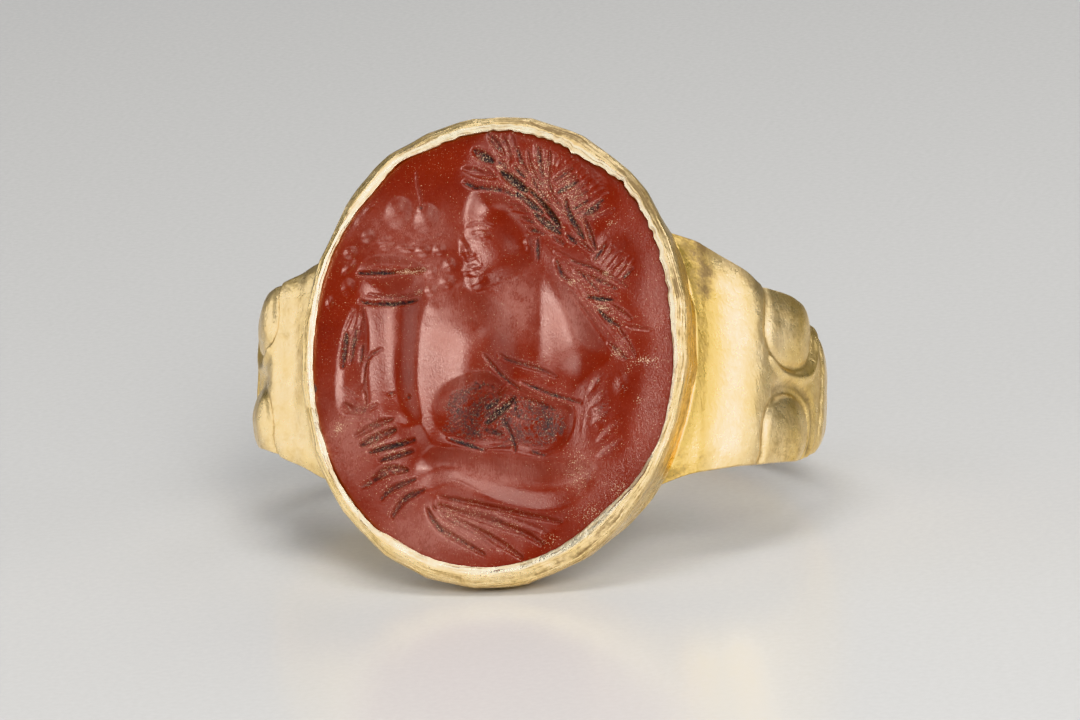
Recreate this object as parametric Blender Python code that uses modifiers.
"""Gold finger ring with an oval seal stone, lying on its side.

The gold is one cast and soldered body: a thin hoop, two broad shoulders with raised lobes,
and an oval setting whose lip is turned over the edge of one flat stone.
Metres, +Z up. The seal face looks along -Y and leans back, because the ring rests on the
lower end of its setting and on the back of its hoop. The origin is the middle of its box,
on the floor. The ring is drawn upright about its hoop's centre first (the finger goes
along Z), and one empty then lays it down.
"""
import math
from collections import namedtuple

import bmesh
import bpy
import numpy as np
from mathutils import Matrix, Vector

# Driving dimensions, in metres
HOLE_WIDTH = 0.0235          # finger hole, side to side
HOLE_BACK = 0.0110           # hoop centre to the inside of the band's back
HOLE_SQUARENESS = 3.5        # power of the oval in front, where 2 is a plain ellipse
HOOP_WALL = 0.0008           # gold of the hoop, inside to outside
BAND_WIDTH = 0.0021          # band at the back, along the finger
SHOULDER_WIDTH = 0.0126      # shoulders at the setting, along the finger
CROWN = 0.00022              # how far the outside of the hoop is domed
EDGE_ROUND = 0.00022         # how far the hoop's outer edges are rounded away

FACE_DISTANCE = 0.0093       # hoop centre to the stone's table
STONE_WIDTH = 0.0163         # stone at its girdle, across the finger
STONE_LENGTH = 0.0195        # stone at its girdle, along the finger
STONE_THICKNESS = 0.0022     # table to back
STONE_BEVEL_WIDTH = 0.00045  # bevel between table and girdle, seen from the front
STONE_BEVEL_DEPTH = 0.0009   # the same bevel, seen from the side
STONE_BACK_BEVEL = 0.0007    # how far the stone's sides draw in from girdle to back

SEAT_GAP = 0.0003            # free space between stone and gold
SETTING_FLOOR = 0.0009       # gold behind the stone, at the middle
SETTING_WALL = 0.00035       # gold round the stone
SETTING_DEPTH = 0.0023       # table to the foot of the setting's wall
SETTING_END_TAPER = 0.0006   # how far the wall leans in at the two ends of the oval
LIP_OVERLAP = 0.00015        # how far the lip reaches in past the girdle
LIP_RISE = 0.00015           # how far the lip stands above the table
LIP_ROLL = 0.00015           # rolled outer corner of the lip
SETTING_TUCK = 0.0030        # how far the underside of the setting draws in

LOBE_LENGTH = 0.0060         # raised lobes on the shoulders, round the hoop
LOBE_HEIGHT = 0.0034         # along the finger
LOBE_RISE = 0.00030          # above the hoop's skin
LOBE_BODY = 0.0011           # half thickness of the egg shape that makes a lobe
LOBE_SPACING = 0.0041        # between the middles of the two lobes of a shoulder

# Sections of the hoop, from the middle of its back to the middle of its front.
# across: share of the hoop's outer half width.
# along: share of the way to the back of the band (+) or to the foot of the setting (-).
# width: share of the way from the band's width to the shoulders' width.
Section = namedtuple("Section", "across along width")
LOBE_MIDDLE = Section(0.972, -0.32, 0.44)
HOOP_SECTIONS = (
    Section(0.00, 1.00, 0.00),
    Section(0.32, 0.95, 0.00),
    Section(0.60, 0.81, 0.00),
    Section(0.82, 0.58, 0.03),
    Section(0.95, 0.32, 0.10),
    Section(1.00, 0.07, 0.25),
    Section(1.00, -0.12, 0.36),
    LOBE_MIDDLE,
    Section(0.935, -0.50, 0.49),
    Section(0.905, -0.60, 0.53),
    Section(0.900, -0.69, 0.55),
    Section(0.850, -0.83, 0.58),
    Section(0.765, -0.90, 0.66),
    Section(0.695, -0.985, 0.82),
    Section(0.500, -1.00, 1.00),
    Section(0.250, -1.00, 1.00),
    Section(0.00, -1.00, 1.00),
)

# How finely round shapes are divided
SECTION_STEPS = 4            # sections between two rows of the table
SKIN_POINTS = 13             # points across the hoop's outer face
OVAL_SIDES = 64              # sides of the stone and the setting
HOLE_SIDES = 96              # sides of the finger hole
LOBE_SIDES = 20
LOBE_RINGS = 10

# Worked out from the above
HOLE_FRONT = FACE_DISTANCE - STONE_THICKNESS - SEAT_GAP - SETTING_FLOOR
HOOP_HALF_WIDTH = HOLE_WIDTH / 2 + HOOP_WALL
BAND_BACK = HOLE_BACK + HOOP_WALL
SETTING_FOOT = FACE_DISTANCE - SETTING_DEPTH
SETTING_OFFSET = SEAT_GAP + SETTING_WALL
TRIM = 2 * HOOP_WALL         # how far blanks and cutters run past what they shape


def clear_scene():
    """Remove whatever the scene holds, and the meshes that it leaves behind."""
    for thing in list(bpy.data.objects):
        bpy.data.objects.remove(thing, do_unlink=True)
    for mesh in list(bpy.data.meshes):
        bpy.data.meshes.remove(mesh)


def new_collection(name):
    """Add a collection to the scene."""
    collection = bpy.data.collections.new(name)
    bpy.context.scene.collection.children.link(collection)
    return collection


def principled(name, colour, roughness, metallic):
    """Make a plain material."""
    material = bpy.data.materials.new(name)
    material.use_nodes = True
    shader = material.node_tree.nodes["Principled BSDF"]
    shader.inputs["Base Color"].default_value = (*colour, 1.0)
    shader.inputs["Roughness"].default_value = roughness
    shader.inputs["Metallic"].default_value = metallic
    return material


def add_object(name, mesh, collection, material=None):
    """Put a mesh into a collection, smooth but for its sharp edges."""
    thing = bpy.data.objects.new(name, mesh)
    collection.objects.link(thing)
    if material:
        mesh.materials.append(material)
    mesh.shade_smooth()
    mesh.set_sharp_from_angle(angle=math.radians(35))
    return thing


def as_tool(thing):
    """Mark a blank or a cutter, which is not a piece of the ring by itself."""
    thing.hide_render = True
    thing.display_type = "WIRE"
    return thing


def loft(rings, capped):
    """Skin a row of rings with as many points each, and close its ends if capped."""
    shape = bmesh.new()
    rows = [[shape.verts.new(point) for point in ring] for ring in rings]
    for row, following in zip(rows, rows[1:]):
        for i in range(len(row)):
            shape.faces.new((row[i - 1], row[i], following[i], following[i - 1]))
    if capped:
        shape.faces.new(rows[0])
        shape.faces.new(rows[-1])
        bmesh.ops.recalc_face_normals(shape, faces=shape.faces)
    mesh = bpy.data.meshes.new("loft")
    shape.to_mesh(mesh)
    shape.free()
    return mesh


def oval_ring(grow_sides, grow_ends, depth):
    """Points round the stone's oval, grown at its sides and ends, behind the table."""
    turn = np.arange(OVAL_SIDES) * 2 * math.pi / OVAL_SIDES
    across = (STONE_WIDTH / 2 + grow_sides) * np.cos(turn)
    up = (STONE_LENGTH / 2 + grow_ends) * np.sin(turn)
    return [(x, depth - FACE_DISTANCE, z) for x, z in zip(across, up)]


def oval_stack(profile):
    """Solid of ovals, from rows of (growth at sides, growth at ends, depth)."""
    return loft([oval_ring(*row) for row in profile], capped=True)


def hole_reach(direction):
    """Distance from the hoop's centre to the wall of the finger hole, towards a point.

    The wall is half an ellipse at the back, and in front half of a squarer oval, which
    follows the shoulders and runs nearly flat behind the setting.
    """
    depth, power = (HOLE_BACK, 2) if direction.y > 0 else (HOLE_FRONT, HOLE_SQUARENESS)
    unit = direction.normalized()
    across = abs(unit.x) / (HOLE_WIDTH / 2)
    along = abs(unit.y) / depth
    return (across**power + along**power) ** (-1 / power)


def smooth_rows(rows, steps):
    """Carry a curve through the rows of a table, mirrored past its two ends."""
    table = np.array(rows)
    flip = np.array((-1, 1, 1))
    padded = np.vstack((table[1] * flip, table, table[-2] * flip))
    points = []
    for before, start, end, after in zip(padded, padded[1:], padded[2:], padded[3:]):
        for t in np.arange(steps) / steps:
            bend = 2 * before - 5 * start + 4 * end - after
            twist = 3 * (start - end) + after - before
            points.append(start + ((end - before) * t + bend * t**2 + twist * t**3) / 2)
    points.append(table[-1])
    return points


def skin_point(across, along):
    """Place of a section's outer face in plan."""
    reach = BAND_BACK if along > 0 else SETTING_FOOT
    return Vector((across * HOOP_HALF_WIDTH, along * reach, 0))


def hoop_section(across, along, width):
    """Closed section of the hoop: a domed outer face, with its inside past the hole."""
    outer = skin_point(across, along)
    outward = outer.normalized()
    inner = outward * (hole_reach(outer) - TRIM)
    half = (BAND_WIDTH + width * (SHOULDER_WIDTH - BAND_WIDTH)) / 2
    spread = np.sin(np.linspace(-1, 1, SKIN_POINTS) * math.pi / 2)
    points = []
    for share in spread:
        drop = CROWN * share**2 + EDGE_ROUND * share**8
        points.append(outer - outward * drop + Vector((0, 0, half * share)))
    points.append(inner + Vector((0, 0, half)))
    points.append(inner - Vector((0, 0, half)))
    return points


def half_hoop():
    """One side of the hoop, open at the middle plane."""
    rows = smooth_rows(HOOP_SECTIONS, SECTION_STEPS)
    return loft([hoop_section(*row) for row in rows], capped=False)


def setting_blank():
    """Solid oval of the setting, before its pocket and the finger hole are cut."""
    wall = SETTING_OFFSET
    foot = wall - SETTING_END_TAPER
    tucked = wall - SETTING_TUCK
    return oval_stack((
        (-LIP_OVERLAP - SETTING_WALL, -LIP_OVERLAP - SETTING_WALL, -LIP_RISE),
        (0, 0, -LIP_RISE),
        (wall - LIP_ROLL, wall - LIP_ROLL, LIP_ROLL),
        (wall, wall, 3 * LIP_ROLL),
        (wall, foot, SETTING_DEPTH),
        (wall - SETTING_TUCK / 3, foot - SETTING_TUCK / 3, SETTING_DEPTH + SETTING_FLOOR),
        (tucked, tucked, FACE_DISTANCE - HOLE_FRONT + TRIM),
    ))


def pocket_cutter():
    """The hollow that the stone sits in, with the mouth that the lip narrows."""
    under_lip = STONE_BEVEL_DEPTH - SEAT_GAP
    back = SEAT_GAP - STONE_BACK_BEVEL
    return oval_stack((
        (-LIP_OVERLAP, -LIP_OVERLAP, -LIP_RISE - TRIM),
        (-LIP_OVERLAP, -LIP_OVERLAP, 0),
        (SEAT_GAP, SEAT_GAP, under_lip),
        (SEAT_GAP, SEAT_GAP, STONE_BEVEL_DEPTH),
        (back, back, STONE_THICKNESS + SEAT_GAP),
    ))


def stone_mesh():
    """The stone: a flat table, a bevel to the girdle, and sides drawn in to the back."""
    return oval_stack((
        (-STONE_BEVEL_WIDTH, -STONE_BEVEL_WIDTH, 0),
        (0, 0, STONE_BEVEL_DEPTH),
        (-STONE_BACK_BEVEL, -STONE_BACK_BEVEL, STONE_THICKNESS),
    ))


def hole_cutter(collection):
    """Prism of the finger hole, along the finger."""
    outline = bpy.data.curves.new("finger_hole", "CURVE")
    outline.dimensions = "2D"
    outline.fill_mode = "BOTH"
    outline.extrude = STONE_LENGTH / 2 + SETTING_OFFSET + TRIM
    spline = outline.splines.new("POLY")
    spline.points.add(HOLE_SIDES - 1)
    spline.use_cyclic_u = True
    for i, point in enumerate(spline.points):
        turn = (i + 0.5) * 2 * math.pi / HOLE_SIDES
        direction = Vector((HOLE_WIDTH * math.cos(turn), 2 * HOLE_BACK * math.sin(turn), 0))
        point.co = (*(direction.normalized() * hole_reach(direction)), 1)
    curve = bpy.data.objects.new("finger_hole_outline", outline)
    collection.objects.link(curve)
    bpy.context.view_layer.update()
    evaluated = curve.evaluated_get(bpy.context.evaluated_depsgraph_get())
    mesh = bpy.data.meshes.new_from_object(evaluated)
    bpy.data.objects.remove(curve)
    shape = bmesh.new()
    shape.from_mesh(mesh)
    bmesh.ops.remove_doubles(shape, verts=shape.verts, dist=1e-6)
    bmesh.ops.recalc_face_normals(shape, faces=shape.faces)
    shape.to_mesh(mesh)
    shape.free()
    return as_tool(add_object("finger_hole", mesh, collection))


def lobe_blanks(collection):
    """Four egg shapes, two on each shoulder, whose tops stand out of the hoop's skin."""
    place = skin_point(LOBE_MIDDLE.across, LOBE_MIDDLE.along)
    outward = place.normalized()
    centre = place + outward * (LOBE_RISE - LOBE_BODY)
    turn = Matrix.Rotation(math.atan2(outward.y, outward.x), 4, "Z")
    size = Matrix.Diagonal((LOBE_BODY, LOBE_LENGTH / 2, LOBE_HEIGHT / 2, 1))
    shape = bmesh.new()
    for side in (1, -1):
        for level in (1, -1):
            lift = Vector((0, 0, level * LOBE_SPACING / 2))
            matrix = Matrix.Diagonal((side, 1, 1, 1)) @ Matrix.Translation(centre + lift)
            bmesh.ops.create_uvsphere(
                shape, u_segments=LOBE_SIDES, v_segments=LOBE_RINGS, radius=1,
                matrix=matrix @ turn @ size)
    bmesh.ops.recalc_face_normals(shape, faces=shape.faces)
    mesh = bpy.data.meshes.new("lobes")
    shape.to_mesh(mesh)
    shape.free()
    return as_tool(add_object("lobes", mesh, collection))


def combine(target, tool, operation):
    """Add a Boolean modifier."""
    modifier = target.modifiers.new(tool.name, "BOOLEAN")
    modifier.operation = operation
    modifier.object = tool
    modifier.solver = "EXACT"


def build_gold(collection, cutters):
    """The gold body: hoop, shoulders, lobes and setting in one, with its two hollows."""
    gold = principled("gold", (0.80, 0.60, 0.28), 0.30, 1.0)
    ring = add_object("gold_ring", half_hoop(), collection, gold)
    mirror = ring.modifiers.new("other_half", "MIRROR")
    mirror.use_axis[0] = True
    mirror.use_clip = True
    mirror.merge_threshold = 1e-5
    combine(ring, as_tool(add_object("setting", setting_blank(), cutters)), "UNION")
    combine(ring, lobe_blanks(cutters), "UNION")
    combine(ring, hole_cutter(cutters), "DIFFERENCE")
    combine(ring, as_tool(add_object("pocket", pocket_cutter(), cutters)), "DIFFERENCE")
    return ring


def build_stone(collection):
    """The seal stone, free of the gold by the seat gap all round."""
    jasper = principled("red_stone", (0.33, 0.035, 0.020), 0.28, 0.0)
    return add_object("seal_stone", stone_mesh(), collection, jasper)


def built_points(thing):
    """Corners of an object as its modifiers leave it, as rows of x, y, z."""
    bpy.context.view_layer.update()
    mesh = thing.evaluated_get(bpy.context.evaluated_depsgraph_get()).to_mesh()
    points = np.empty(len(mesh.vertices) * 3)
    mesh.vertices.foreach_get("co", points)
    return points.reshape(-1, 3)


def resting_tilt(points):
    """Lean at which the front half and the back half of the ring touch the floor."""
    front = points[points[:, 1] < 0]
    back = points[points[:, 1] > 0]
    low, high = 0.0, math.pi / 4
    for _ in range(40):
        tilt = (low + high) / 2
        down = np.array((0, math.sin(tilt), -math.cos(tilt)))
        if (front @ down).max() > (back @ down).max():
            low = tilt
        else:
            high = tilt
    return tilt


def lay_down(ring, pieces, collection):
    """Lean the ring back on one empty, and bring the middle of its box to the origin."""
    points = built_points(ring)
    lean = Matrix.Rotation(-resting_tilt(points), 4, "X")
    placed = points @ np.array(lean.to_3x3()).T
    low = placed.min(axis=0)
    high = placed.max(axis=0)
    rest = bpy.data.objects.new("resting_place", None)
    collection.objects.link(rest)
    rest.rotation_euler = lean.to_euler()
    rest.location = (0, -(low[1] + high[1]) / 2, -low[2])
    for piece in pieces:
        piece.parent = rest


clear_scene()
parts = new_collection("intaglio_ring")
tools = new_collection("cutters")
gold_ring = build_gold(parts, tools)
seal_stone = build_stone(parts)
lay_down(gold_ring, [gold_ring, seal_stone] + list(tools.objects), parts)
